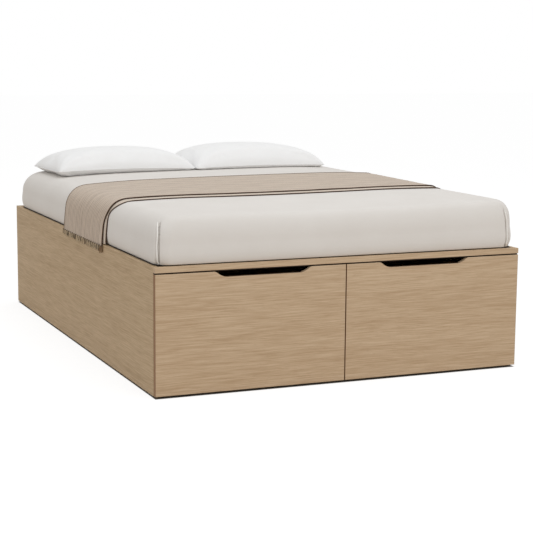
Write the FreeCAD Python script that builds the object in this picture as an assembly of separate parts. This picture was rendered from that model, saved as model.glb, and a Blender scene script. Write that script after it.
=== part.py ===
import FreeCAD, Part
import math
import os

# A double platform bed in oak veneer: a panelled box with a slatted deck, two deep drawers that
# pull out of the foot on telescopic runners, and its bedding: a mattress in a fitted sheet,
# two pillows and a folded throw. X runs across the bed, Y from the foot to the head, Z up.
# The origin is on the floor under the middle of the bed. Sizes are in millimetres.

# Overall sizes
mattress_width = 1430
mattress_length = 2000
mattress_height = 184
frame_rim = 10
head_rim = 40
bed_height = 460
glide_height = 6

# Boards
panel_thickness = 18
front_thickness = 18
edge_round = 1.2
fit_clearance = 0.3

# Foot end
rail_height = 20
front_reveal = 5
front_standoff = 2
front_floor_gap = 8
centre_gap = 3
stretcher_depth = 100
tie_depth = 80
bumper_size = 8
bumper_inset = 60

# Finger pulls, cut from the tops of the drawer fronts
pull_width = 277
pull_depth = 20
pull_shoulder_radius = 24
pull_hollow_radius = 50
pull_slope = math.radians(36)
pull_shift = 42

# Deck and inner panels
ledger_size = 30
slat_thickness = 18
slat_width = 92
slat_count = 12
slat_end_gap = 2

# Drawers
drawer_back_room = 22
drawer_headroom = 52
drawer_board = 15
drawer_lift = 24
floor_thickness = 9
groove_depth = 6
groove_lift = 12

# Telescopic runners: three nested channels with ball cages between them
runner_length = 800
runner_setback = 2
runner_back_room = 48
runner_width = 12.7
runner_height = 45
runner_sheet = 1.2
runner_bend = 2
runner_race = 5.1
runner_play = 0.3
outer_channel_depth = 10
middle_channel_start = 3.4
middle_channel_depth = 7.6
inner_channel_depth = 6.7
cage_sheet = 0.9
cage_length = 250
cage_setback = 200
outer_cage_start = 1.8
outer_cage_depth = 6.4
inner_cage_depth = 4.3

# Fittings
bracket_leg = 46
bracket_height = 84
bracket_sheet = 2.5
bracket_lift = 150
glide_length = 50
glide_width = 14
glide_bevel = 2

# Bedding
sheet_thickness = 1.5
soft_clearance = 0.3
mattress_corner = 54
shoulder_height = 96
side_shoulder = 80
end_shoulder = 52
mattress_bottom_round = 6
mattress_bulge = 3
mattress_crown = 8
crown_run = 280
foot_steps = 2
side_steps = 3
shoulder_steps = 4
crown_steps = 2
foam_thickness = 24
pillow_length = 650
pillow_depth = 376
pillow_height = 104
pillow_ear = 72
pillow_end = 7
pillow_end_lift = 16
pillow_seam_height = 36
pillow_head_gap = 33
pillow_gap = 6
throw_width = 630
throw_from_foot = 545
throw_layer = 3.6
throw_step = 55
throw_drop = 14
throw_standoff = 1.2

Vector = FreeCAD.Vector
UP = Vector(0, 0, 1)

# Planes that several pieces share
half_width = mattress_width / 2 + frame_rim
head_face = (mattress_length + frame_rim + head_rim) / 2
foot_face = -head_face
mattress_middle = foot_face + frame_rim + mattress_length / 2
carcass_foot = foot_face + front_thickness + front_standoff
inner_half_width = half_width - panel_thickness
half_panel = panel_thickness / 2
bearer_top = bed_height - slat_thickness
rail_bottom = bed_height - rail_height
front_top = rail_bottom - front_reveal
front_back = foot_face + front_thickness
runner_foot = carcass_foot + runner_setback
cross_foot = runner_foot + runner_length + runner_back_room
cross_head = cross_foot + panel_thickness
head_inside = head_face - panel_thickness
tie_top = glide_height + panel_thickness
stretcher_head = carcass_foot + stretcher_depth
drawer_bottom = glide_height + drawer_lift
ledger_foot = bearer_top - ledger_size
drawer_top = ledger_foot - drawer_headroom
drawer_back = cross_foot - drawer_back_room
runner_axis = (drawer_bottom + drawer_top) / 2
deck_rest = bed_height + soft_clearance
bedding_top = deck_rest + mattress_height


def save(name, solids):
    """Write one sub-part; a list of solids becomes one group."""
    shape = solids if isinstance(solids, Part.Shape) else Part.makeCompound(solids)
    shape.exportStep(os.path.join("parts", name + ".step"))


def block(x, y, z):
    """A box from three (low, high) pairs."""
    low = Vector(x[0], y[0], z[0])
    return Part.makeBox(x[1] - x[0], y[1] - y[0], z[1] - z[0], low)


def board(x, y, z):
    """A box with its long edges eased, as on a veneered board."""
    plain = block(x, y, z)
    longest = max(edge.Length for edge in plain.Edges)
    long_edges = [edge for edge in plain.Edges if edge.Length > longest - 1]
    return plain.makeFillet(edge_round, long_edges)


def mirrored(shape):
    """The same shape on the other side of the bed's middle."""
    return shape.mirror(Vector(0, 0, 0), Vector(1, 0, 0))


def span(side, near, far):
    """An X range given by its distances from the bed's middle, on side -1 or +1."""
    return tuple(sorted((side * near, side * far)))


# Carcass

slat_room = head_inside - stretcher_head
slat_gap = (slat_room - slat_count * slat_width) / (slat_count + 1)
slat_foots = [stretcher_head + slat_gap + i * (slat_width + slat_gap) for i in range(slat_count)]


def corner_bracket(side, corner_y, along_y):
    """A folded steel angle in the corner between a side panel and a panel across the bed."""
    inner_x = side * inner_half_width
    top = bracket_lift + bracket_height
    to_x = tuple(sorted((inner_x, inner_x - side * bracket_leg)))
    to_y = tuple(sorted((corner_y, corner_y + along_y * bracket_leg)))
    thin_x = tuple(sorted((inner_x, inner_x - side * bracket_sheet)))
    thin_y = tuple(sorted((corner_y, corner_y + along_y * bracket_sheet)))
    one_leg = block(thin_x, to_y, (bracket_lift, top))
    other_leg = block(to_x, thin_y, (bracket_lift, top))
    angle = one_leg.fuse(other_leg).removeSplitter()
    inside = Vector(inner_x - side * bracket_sheet, corner_y + along_y * bracket_sheet, 0)
    fold = [
        edge
        for edge in angle.Edges
        if abs(edge.CenterOfMass.x - inside.x) < 0.01 and abs(edge.CenterOfMass.y - inside.y) < 0.01
    ]
    return angle.makeFillet(bracket_sheet, fold)


bracket_corners = [
    (side, corner_y, along_y)
    for side in (-1, 1)
    for corner_y, along_y in ((head_inside, -1), (cross_head, 1))
]

side_panel = board(
    span(-1, inner_half_width, half_width),
    (carcass_foot, head_face),
    (glide_height, bed_height),
)

head_panel = board(
    (-inner_half_width, inner_half_width),
    (head_inside, head_face),
    (glide_height, bed_height),
)

foot_rail = board(
    (-half_width, half_width),
    (foot_face, carcass_foot),
    (rail_bottom, bed_height),
)
foot_stretcher = block(
    (-inner_half_width, inner_half_width),
    (carcass_foot, stretcher_head),
    (bearer_top, bed_height),
)
centre_divider = block(
    (-half_panel, half_panel),
    (carcass_foot, cross_foot),
    (glide_height, bearer_top),
)
head_support = block(
    (-half_panel, half_panel),
    (cross_head, head_inside),
    (glide_height, bearer_top),
)

cross_panel = block(
    (-inner_half_width, inner_half_width),
    (cross_foot, cross_head),
    (glide_height, bearer_top),
)
notches = [
    block(
        span(side, inner_half_width - ledger_size - fit_clearance, inner_half_width),
        (cross_foot, cross_head),
        (ledger_foot - fit_clearance, bearer_top),
    )
    for side in (-1, 1)
]
cross_panel = cross_panel.cut(Part.makeCompound(notches))

tie = block(
    span(-1, half_panel, inner_half_width),
    (carcass_foot, carcass_foot + tie_depth),
    (glide_height, tie_top),
)


ledger = block(
    span(-1, inner_half_width - ledger_size, inner_half_width),
    (carcass_foot, head_inside),
    (ledger_foot, bearer_top),
)


def slat(foot):
    """One deck slat, resting on both ledgers and on the panels along the bed's middle."""
    half = inner_half_width - slat_end_gap
    plank = block((-half, half), (foot, foot + slat_width), (bearer_top, bed_height))
    long_edges = [edge for edge in plank.Edges if edge.BoundBox.XLength > half]
    return plank.makeChamfer(edge_round, long_edges)


def glide(x, y, along_x):
    """A nylon skid under a board, its lower edges bevelled."""
    half_x, half_y = (glide_length / 2, glide_width / 2) if along_x else (glide_width / 2, glide_length / 2)
    pad = block((x - half_x, x + half_x), (y - half_y, y + half_y), (0, glide_height))
    low_edges = [edge for edge in pad.Edges if edge.BoundBox.ZMax < 0.01]
    return pad.makeChamfer(glide_bevel, low_edges)


side_middle = half_width - half_panel
side_glides = [carcass_foot + tie_depth / 2, cross_foot, (cross_head + head_face) / 2, head_face - tie_depth / 2]
inner_glides = [carcass_foot + tie_depth / 2, (cross_head + head_inside) / 2]
glides = [glide(side * side_middle, y, False) for side in (-1, 1) for y in side_glides]
glides += [glide(0, y, False) for y in inner_glides]
glides += [
    glide(side * inner_half_width / 2, y, True)
    for side in (-1, 1)
    for y in (cross_foot + half_panel, head_face - half_panel)
]

bumper_length = front_standoff - fit_clearance
bumper_heights = [glide_height + bumper_inset, front_top - bumper_inset]
bumper_places = [side * x for side in (-1, 1) for x in (half_panel / 2, side_middle)]
bumpers = [
    block(
        (x - bumper_size / 2, x + bumper_size / 2),
        (carcass_foot - bumper_length, carcass_foot),
        (z - bumper_size / 2, z + bumper_size / 2),
    )
    for x in bumper_places
    for z in bumper_heights
]

# Runners


def rolled(corners):
    """A face in X and Z from right-angled corners (x, z, radius), each rounded by its radius."""
    arcs = []
    points = [Vector(x, 0, z) for x, z, radius in corners]
    for i, (x, z, radius) in enumerate(corners):
        back = (points[i - 1] - points[i]).normalize()
        ahead = (points[(i + 1) % len(points)] - points[i]).normalize()
        middle = points[i] + (back + ahead) * radius * (1 - math.sqrt(0.5))
        arcs.append((points[i] + back * radius, middle, points[i] + ahead * radius))
    edges = []
    for i, (arrive, middle, leave) in enumerate(arcs):
        if corners[i][2]:
            edges.append(Part.Arc(arrive, middle, leave).toShape())
        edges.append(Part.makeLine(leave, arcs[(i + 1) % len(arcs)][0]))
    return Part.Face(Part.Wire(edges))


def mirrored_corners(upper):
    """The section's upper corners followed by their mirror images below."""
    return upper + [(x, -z, radius) for x, z, radius in reversed(upper)]


def lipped_channel(start, depth, height):
    """A roll-formed C with lips, open away from its web, which starts at X = start."""
    half = height / 2
    end = start + depth
    upper = [
        (start + runner_sheet, half - runner_sheet, 0),
        (end - runner_sheet, half - runner_sheet, 0),
        (end - runner_sheet, half - runner_lip, 0),
        (end, half - runner_lip, 0),
        (end, half, runner_bend),
        (start, half, runner_bend),
    ]
    return rolled(mirrored_corners(upper))


def plain_channel(start, depth, height, web, flange, bend):
    """A C without lips, open away from its web, which starts at X = start."""
    half = height / 2
    end = start + depth
    upper = [
        (start + web, half - flange, 0),
        (end, half - flange, 0),
        (end, half, 0),
        (start, half, bend),
    ]
    return rolled(mirrored_corners(upper))


middle_height = runner_height - 2 * runner_race
inner_height = middle_height - 2 * runner_race
runner_lip = runner_race - runner_play
cage_bar = runner_race - runner_sheet - 2 * runner_play
outer_cage_height = runner_height - 2 * runner_sheet - 2 * runner_play
inner_cage_height = middle_height - 2 * runner_sheet - 2 * runner_play
inner_cage_start = middle_channel_start + runner_sheet + runner_play

sections = {
    "cabinet_members": lipped_channel(0, outer_channel_depth, runner_height),
    "middle_members": lipped_channel(middle_channel_start, middle_channel_depth, middle_height),
    "drawer_members": mirrored(
        plain_channel(-runner_width, inner_channel_depth, inner_height, runner_sheet, runner_sheet, runner_bend)
    ),
    "outer_cages": plain_channel(
        outer_cage_start, outer_cage_depth, outer_cage_height, cage_sheet, cage_bar, 0
    ),
    "inner_cages": plain_channel(
        inner_cage_start, inner_cage_depth, inner_cage_height, cage_sheet, cage_bar, 0
    ),
}


def runner_pieces(piece):
    """One member of the left drawer's two runners: on the side panel and on the divider."""
    is_cage = piece.endswith("cages")
    length = cage_length if is_cage else runner_length
    foot = runner_foot + (cage_setback if is_cage else 0)
    along = sections[piece].extrude(Vector(0, length, 0))
    on_panel = along.translated(Vector(-inner_half_width, foot, runner_axis))
    on_divider = mirrored(along).translated(Vector(-half_panel, foot, runner_axis))
    return [on_panel, on_divider]


# Drawers, built on the left and mirrored to the right

box_outer = inner_half_width - runner_width
box_inner = half_panel + runner_width
box_inside_outer = box_outer - drawer_board
box_inside_inner = box_inner + drawer_board
box_inside_foot = front_back + drawer_board
box_inside_back = drawer_back - drawer_board
floor_bottom = drawer_bottom + groove_lift
floor_top = floor_bottom + floor_thickness
tongue = groove_depth - fit_clearance
groove_heights = (floor_bottom - fit_clearance / 2, floor_top + fit_clearance / 2)
groove = block(
    span(-1, box_inside_inner - groove_depth, box_inside_outer + groove_depth),
    (box_inside_foot - groove_depth, box_inside_back + groove_depth),
    groove_heights,
)
drawer_floor = block(
    span(-1, box_inside_inner - tongue, box_inside_outer + tongue),
    (box_inside_foot - tongue, box_inside_back + tongue),
    (floor_bottom, floor_top),
)

box_heights = (drawer_bottom, drawer_top)
box_run = (front_back, drawer_back)
box_across = span(-1, box_inside_inner, box_inside_outer)


def drawer_plank(x, y):
    """A board of the drawer's box, grooved for the drawer's floor, its top edges eased."""
    plain = block(x, y, box_heights)
    top_edges = [edge for edge in plain.Edges if edge.BoundBox.ZMin > drawer_top - 1]
    return plain.makeFillet(edge_round, top_edges).cut(groove)


front_inner = centre_gap / 2
front_middle = (front_inner + half_width) / 2
pull_middle = front_middle - pull_shift


def pull_edges(middle):
    """The finger pull's outline from right to left: two S-shaped ends and a level bottom."""
    sine = math.sin(pull_slope)
    half_sine = math.sin(pull_slope / 2)
    drop = 1 - math.cos(pull_slope)
    half_drop = 1 - math.cos(pull_slope / 2)
    radii = pull_shoulder_radius + pull_hollow_radius
    straight = (pull_depth - radii * drop) / sine
    run = radii * sine + straight * math.cos(pull_slope)
    bottom = front_top - pull_depth

    def end(side):
        def shoulder_point(across, down):
            x = middle + side * (pull_width / 2 + run - pull_shoulder_radius * across)
            return Vector(x, foot_face, front_top - pull_shoulder_radius * down)

        def hollow_point(across, up):
            x = middle + side * (pull_width / 2 + pull_hollow_radius * across)
            return Vector(x, foot_face, bottom + pull_hollow_radius * up)

        shoulder = [shoulder_point(0, 0), shoulder_point(half_sine, half_drop), shoulder_point(sine, drop)]
        hollow = [hollow_point(sine, drop), hollow_point(half_sine, half_drop), hollow_point(0, 0)]
        return shoulder + hollow

    right = end(1)
    left = end(-1)
    edges = [
        Part.Arc(right[0], right[1], right[2]).toShape(),
        Part.makeLine(right[2], right[3]),
        Part.Arc(right[3], right[4], right[5]).toShape(),
        Part.makeLine(right[5], left[5]),
        Part.Arc(left[5], left[4], left[3]).toShape(),
        Part.makeLine(left[3], left[2]),
        Part.Arc(left[2], left[1], left[0]).toShape(),
    ]
    return edges, right[0], left[0]


def drawer_front():
    """The left drawer's show front: a full board with a finger pull in its top edge."""
    edges, right_shoulder, left_shoulder = pull_edges(-pull_middle)
    top_left = Vector(-half_width, foot_face, front_top)
    low_left = Vector(-half_width, foot_face, front_floor_gap)
    low_right = Vector(-front_inner, foot_face, front_floor_gap)
    top_right = Vector(-front_inner, foot_face, front_top)
    edges += [
        Part.makeLine(left_shoulder, top_left),
        Part.makeLine(top_left, low_left),
        Part.makeLine(low_left, low_right),
        Part.makeLine(low_right, top_right),
        Part.makeLine(top_right, right_shoulder),
    ]
    outline = Part.Wire(Part.__sortEdges__(edges))
    slab = Part.Face(outline).extrude(Vector(0, front_thickness, 0))
    show_edges = [edge for edge in slab.Edges if edge.BoundBox.YMax < foot_face + 0.01]
    return slab.makeFillet(edge_round, show_edges)


left_drawer = {
    "front": drawer_front(),
    "box_front": drawer_plank(box_across, (front_back, box_inside_foot)),
    "outer_side": drawer_plank(span(-1, box_inside_outer, box_outer), box_run),
    "inner_side": drawer_plank(span(-1, box_inner, box_inside_inner), box_run),
    "back": drawer_plank(box_across, (box_inside_back, drawer_back)),
    "floor": drawer_floor,
}

# Bedding


def rounded_outline(half_x, half_y, corner, z):
    """A level rectangle with round corners, centred on the bed."""
    bend = corner * (1 - math.sqrt(0.5))
    edges = []
    for turn in range(4):
        flat_x, flat_y = (half_x, half_y) if turn % 2 == 0 else (half_y, half_x)
        start = Vector(flat_x, -(flat_y - corner), z)
        stop = Vector(flat_x, flat_y - corner, z)
        middle = Vector(flat_x - bend, flat_y - bend, z)
        finish = Vector(flat_x - corner, flat_y, z)
        for edge in (Part.makeLine(start, stop), Part.Arc(stop, middle, finish).toShape()):
            edge.rotate(Vector(0, 0, 0), UP, 90 * turn)
            edges.append(edge)
    return Part.Wire(edges)


def mattress_profile(inset):
    """Heights of the mattress's rows, with their draw-ins at its sides and at its ends.

    From the deck up they make a round foot, a bulge, a round shoulder and a crown.
    """
    low = deck_rest
    top = bedding_top - inset
    foot = mattress_bottom_round
    shoulder_start = top - mattress_crown - shoulder_height
    rows = []
    for step in range(foot_steps + 1):
        turn = math.pi / 2 * step / foot_steps
        draw_in = foot * (1 - math.sin(turn))
        rows.append((low + foot * (1 - math.cos(turn)), draw_in, draw_in))
    for step in range(1, side_steps):
        share = step / side_steps
        bulge = mattress_bulge * math.sin(math.pi * share)
        rows.append((low + foot + (shoulder_start - low - foot) * share, -bulge, -bulge))
    for step in range(shoulder_steps + 1):
        turn = math.pi / 2 * step / shoulder_steps
        round_in = 1 - math.cos(turn)
        height = shoulder_start + shoulder_height * math.sin(turn)
        rows.append((height, side_shoulder * round_in, end_shoulder * round_in))
    for step in range(1, crown_steps + 1):
        share = step / crown_steps
        height = shoulder_start + shoulder_height + mattress_crown * (1 - (1 - share) ** 2)
        run = crown_run * share
        rows.append((height, side_shoulder + run, end_shoulder + run))
    return rows


def mattress_outlines(inset):
    """Level outlines of the mattress's form, drawn in by inset at the sides and the top."""
    outlines = []
    for height, side_draw, end_draw in mattress_profile(inset):
        half_x = mattress_width / 2 - inset - side_draw
        half_y = mattress_length / 2 - inset - end_draw
        outlines.append(rounded_outline(half_x, half_y, mattress_corner, height))
    return outlines


def sheet_cap(inner_inset):
    """The fitted sheet: two nested skins over the mattress, closed by a rim along the hem."""
    faces = []
    skins = [mattress_outlines(0), mattress_outlines(inner_inset)]
    for outlines in skins:
        faces += Part.makeLoft(outlines, False, True).Faces
        faces.append(Part.Face(outlines[-1]))
    faces.append(Part.Face([outlines[0] for outlines in skins]))
    return Part.Solid(Part.Shell(faces))


core_half_width = mattress_width / 2 - foam_thickness - side_shoulder / 2
core_half_length = mattress_length / 2 - foam_thickness - end_shoulder / 2
spring_core = block(
    (-core_half_width, core_half_width),
    (-core_half_length, core_half_length),
    (deck_rest + foam_thickness, bedding_top - mattress_crown - foam_thickness),
)
mattress_skin = mattress_outlines(sheet_thickness + soft_clearance)
from_foot = Vector(0, mattress_middle, 0)
mattress = Part.makeLoft(mattress_skin, True, True).cut(spring_core).translated(from_foot)
fitted_sheet = sheet_cap(sheet_thickness).translated(from_foot)


def sheet_level(from_end):
    """The sheet's height at a distance in from the bed's end, on the slope of its crown or within it."""
    slope = mattress_profile(0)[-crown_steps - 1:]
    for (low, _, near), (high, _, far) in zip(slope, slope[1:]):
        if from_end <= far:
            return low + (high - low) * (from_end - near) / (far - near)
    return bedding_top


def pillow():
    """A pillow on the left half: plump in the middle, thin along its ends, with pointed corners."""
    from_end = pillow_head_gap + pillow_depth / 2 + pillow_ear / 2
    middle_y = mattress_middle + mattress_length / 2 - from_end
    rest = sheet_level(from_end) + soft_clearance
    middle_x = -(pillow_length / 2 + pillow_gap / 2)
    outlines = []
    for share in (-1, -0.85, -0.45, 0, 0.45, 0.85, 1):
        plump = (1 - abs(share) ** 3) ** 0.6
        seam = rest + pillow_end_lift * (1 - plump) + pillow_seam_height * plump
        crown = (pillow_height - pillow_seam_height) * plump + pillow_end / 2 * (1 - plump)
        belly = pillow_seam_height * plump + pillow_end / 2 * (1 - plump)
        half_depth = pillow_depth / 2 + pillow_ear / 2 * share ** 4
        x = middle_x + share * pillow_length / 2
        foot_point = Vector(x, middle_y - half_depth, seam)
        head_point = Vector(x, middle_y + half_depth, seam)
        top_point = Vector(x, middle_y, seam + crown)
        low_point = Vector(x, middle_y, seam - belly)
        upper = Part.Arc(foot_point, top_point, head_point).toShape()
        lower = Part.Arc(head_point, low_point, foot_point).toShape()
        outlines.append(Part.Wire([upper, lower]))
    return Part.makeLoft(outlines, True, True)


throw_foot = foot_face + throw_from_foot
throw_head = throw_foot + throw_width


def throw_path(offset):
    """The throw's line across the bed, from the right hem to the left hem, moved out by offset."""
    gap = soft_clearance + offset
    hem = bed_height - throw_drop
    outer_x = half_width + throw_standoff + offset
    on_mattress = mattress_profile(-gap)[foot_steps + side_steps - 1:]
    points = [Vector(outer_x, 0, hem), Vector(outer_x, 0, bed_height + throw_drop)]
    points += [Vector(mattress_width / 2 + gap - draw_in, 0, z) for z, draw_in, _ in on_mattress]
    points += [Vector(-point.x, 0, point.z) for point in reversed(points)]
    return points


def throw_band(low, high, foot):
    """One layer of the throw, between two offsets, from foot to the fold at the head side."""
    outline = throw_path(high) + throw_path(low)[::-1]
    band = Part.Face(Part.makePolygon(outline + outline[:1]))
    return band.translated(Vector(0, foot, 0)).extrude(Vector(0, throw_head - foot, 0))


throw_blanket = throw_band(0, throw_layer, throw_foot).fuse(
    throw_band(throw_layer, 2 * throw_layer, throw_foot + throw_step)
)

# Write the sub-parts

os.makedirs("parts", exist_ok=True)
save("side_panel_left", side_panel)
save("side_panel_right", mirrored(side_panel))
save("head_panel", head_panel)
save("foot_rail", foot_rail)
save("foot_stretcher", foot_stretcher)
save("centre_divider", centre_divider)
save("head_support", head_support)
save("cross_panel", cross_panel)
save("lower_tie_left", tie)
save("lower_tie_right", mirrored(tie))
save("slat_ledger_left", ledger)
save("slat_ledger_right", mirrored(ledger))
for number, foot in enumerate(slat_foots, 1):
    save(f"slat_{number:02d}", slat(foot))
save("corner_brackets", [corner_bracket(*corner) for corner in bracket_corners])
save("floor_glides", glides)
save("front_bumpers", bumpers)
for piece in sections:
    solids = runner_pieces(piece)
    save(f"left_{piece}", solids)
    save(f"right_{piece}", [mirrored(solid) for solid in solids])
for piece, solid in left_drawer.items():
    save(f"left_drawer_{piece}", solid)
    save(f"right_drawer_{piece}", mirrored(solid))
save("mattress", mattress)
save("fitted_sheet", fitted_sheet)
save("pillow_left", pillow())
save("pillow_right", mirrored(pillow()))
save("throw_blanket", throw_blanket)
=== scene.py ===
import math

import bpy
import numpy as np
from mathutils import Matrix, Vector


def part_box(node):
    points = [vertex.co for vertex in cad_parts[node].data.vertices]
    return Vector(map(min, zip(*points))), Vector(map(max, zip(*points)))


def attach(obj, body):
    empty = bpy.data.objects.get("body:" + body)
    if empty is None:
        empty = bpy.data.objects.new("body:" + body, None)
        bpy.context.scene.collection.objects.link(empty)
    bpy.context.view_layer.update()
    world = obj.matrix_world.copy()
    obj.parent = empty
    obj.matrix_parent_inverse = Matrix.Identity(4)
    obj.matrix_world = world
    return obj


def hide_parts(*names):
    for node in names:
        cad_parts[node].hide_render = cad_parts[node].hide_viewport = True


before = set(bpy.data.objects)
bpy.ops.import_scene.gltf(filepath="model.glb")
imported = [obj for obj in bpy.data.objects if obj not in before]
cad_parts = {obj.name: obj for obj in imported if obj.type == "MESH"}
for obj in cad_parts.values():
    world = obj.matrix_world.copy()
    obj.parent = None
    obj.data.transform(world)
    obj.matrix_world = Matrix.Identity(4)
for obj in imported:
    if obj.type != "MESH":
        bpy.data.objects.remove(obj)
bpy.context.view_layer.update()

# A double platform bed in oak veneer with two deep drawers in its foot, dressed with a fitted sheet,
# two pillows and a throw folded double. Metres; X across the bed, Y from foot to head, Z up.

# Camera
camera_place = Vector((-2.2388, -5.5597, 1.1978))
camera_turn = -0.4016
camera_tilt = -0.152
camera_roll = 0.0082
camera_lens = 95.81
sensor_width = 36

# Studio
floor_half = 30
floor_matte = (0.78, 0.72, 0.66, 1)
floor_faint = (0.3, 0.3, 0.3, 1)
floor_glow = 0.8
floor_contact_shadow = (0.06, 0.038, 0.02, 1)
floor_inside_painted_shade = (0.3, 0.26, 0.22, 1)
inside_roughness = 0.9
contact_reach = 0.018
contact_full = 0.1
contact_none = 0.4
white = (1, 1, 1, 1)
world_strength = 0.64
key_place = Vector((0.3, -3.6, 4.6))
key_aim = Vector((0, -0.2, 0.4))
key_size = 4.5
key_power = 68
top_place = Vector((0, 0.4, 4.2))
top_aim = Vector((0, 0.2, 0.5))
top_size = 4.0
top_power = 30

# Mattress and fitted sheet
side_bulge = 0.003
foot_height = 0.036
foot_draw = 0.004
edge_lift = 0.0042
shoulder_height = 0.096
side_shoulder = 0.08
end_shoulder = 0.052
right_shoulder_height = 0.052
right_shoulder = 0.036
crown_height = 0.008
crown_run = 0.28
left_rise = -0.008
middle_rise = (-0.0095, 0.002)
right_rise = (0.001, 0.006)
rise_foot = -0.45
rise_head = 0.15
rim_x = 0.62
corner_round = 0.054
corner_relief = 0.034
sheet_gap = 0.0018
sheet_tuck = 0.05
tuck_flat = 0.03
tuck_turn = 0.016
tuck_edge = 0.003
sheet_wave = 0.0012
slow_wave = 9
quick_wave = 16
calm_height = 0.06
pull_band = 0.05
seam_top_drop = 0.036
seam_fade = 0.012
seam_shifts = (8, 12, 8, 12)
seam_across = 0.92
seam_along = 0.39
seam_crease = 0.018
side_crease = 0.3
crease_offset = 2.4
crease_width = 1.5
crease_reach = 9
seam_dimple = 0.005
dimple_radius = 0.014
seam_curl = 0.011
curl_height = 0.02
seam_sway = 0.0012
sway_waves = 75
welt_radius = 0.0026
welt_sink = 0.3
curl_sink = 0.5
tape_radius = 0.004

# Dark strips of painted shade over the drawers and along the mattress
strip_setback = 0.006
strip_inset = 0.001
strip_clearance = 0.0008
deck_shade_cord_radius = 0.002
deck_shade_cord_turn = 0.014

# Pillows
pillow_shapes = {
    "pillow_left": {"height": 0.11, "turn": 0.03, "corner_lifts": (-0.013, -0.014, -0.016, -0.012)},
    "pillow_right": {"height": 0.118, "turn": 0.0, "corner_lifts": (-0.014, -0.012, -0.002, -0.03)},
}
pillow_columns = 72
pillow_rows = 48
end_fullness = 2.6
side_fullness = 2.2
swell_power = 0.55
belly_power = 1.3
corner_power = 6
pillow_crown = 0.066
pillow_belly = 0.032
pillow_seam_height = 0.022
pillow_front_back = 0.042
pillow_side_pull = 0.034
pillow_end_pull = 0.014
pillow_corner_x = 0.02
pillow_corner_y = 0.034
pillow_frames = 24
pillow_cap = 0.012
pillow_rest_gap = 0.0004
pillow_cloth = {
    "quality": 6,
    "mass": 0.25,
    "tension_stiffness": 12,
    "compression_stiffness": 12,
    "shear_stiffness": 4,
    "bending_stiffness": 0.35,
    "air_damping": 4,
    "use_pressure": True,
    "uniform_pressure_force": 4.5,
    "shrink_min": -0.018,
}
fold_depth = 0.002
fold_reach = 0.1
fold_waves = 13
fold_shift = 1.9
fold_bend = 9
piping_radius = 0.0016

# Throw
throw_thickness = 0.003
throw_layer_gap = 0.0006
throw_standoff = 0.0022
throw_step = 0.055
lower_edge_draw = 0.045
lower_edge_lead = 0.09
upper_edge_draw = 0.024
edge_sway = 0.002
fold_sway = 0.003
fold_margin = 0.004
fold_roll = 0.003
fold_flat = 0.008
throw_ridge = 0.0007
ridge_waves = 290
drape_start = 0.055
hem_upright = 0.005
lower_hem_x = 0.7225
lower_hem_lift = 0.0035
upper_hem_x = 0.7285
upper_hem_drop = 0.007
rear_hem_drop = 0.018
hem_drop_top = 0.055
binding_radius = 0.0024
lower_binding_share = 0.95
fold_shadow_radius = 0.0018
fringe_spacing = 0.011
fringe_length = 0.024
fringe_threads = 7
fringe_bundle = 0.004
fringe_seed = 7
strand_spacing = 0.027
strand_length = 0.021
strand_rise = 0.003
strand_threads = 5
strand_bundle = 0.0024
strand_seed = 11
tuft_length = 0.025
tuft_threads = 9
tuft_bundle = 0.0042
tuft_setback = 0.001
tuft_seed = 3
thread_radius = 0.0009

# Screws
screw_head_radius = 0.0036
screw_head_height = 0.0018
screw_sides = 12
dome_rise = 0.35
dome_narrowing = 0.72
socket_narrowing = 0.6
socket_depth = 0.8
slat_head_share = 0.4
slat_count = 12
slat_screw_inset = 0.016
bracket_sheet = 0.0025
bracket_screw_inset = 0.018
bracket_screw_reach = 0.03
front_screw_columns = 3
front_screw_inset = 0.09
front_screw_low = 0.08
front_screw_high = 0.06


def srgb(red, green, blue):
    """A linear colour from the 0 to 255 values that a screen shows."""
    def linear(value):
        share = value / 255
        return share / 12.92 if share <= 0.04045 else ((share + 0.055) / 1.055) ** 2.4
    return (linear(red), linear(green), linear(blue), 1)


class Nodes:
    """Short calls that add nodes to a tree."""

    def __init__(self, tree):
        self.tree = tree

    def put(self, socket, value):
        """Links a value to a socket, or sets it there."""
        if isinstance(value, bpy.types.NodeSocket):
            self.tree.links.new(value, socket)
        else:
            socket.default_value = value

    def node(self, kind, inputs, **settings):
        """A new node, after its settings and its inputs are set."""
        node = self.tree.nodes.new(kind)
        for setting, value in settings.items():
            setattr(node, setting, value)
        for socket, value in inputs.items():
            self.put(node.inputs[socket], value)
        return node

    def add(self, kind, inputs, output=0, **settings):
        """One output of a new node."""
        return self.node(kind, inputs, **settings).outputs[output]


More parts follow.
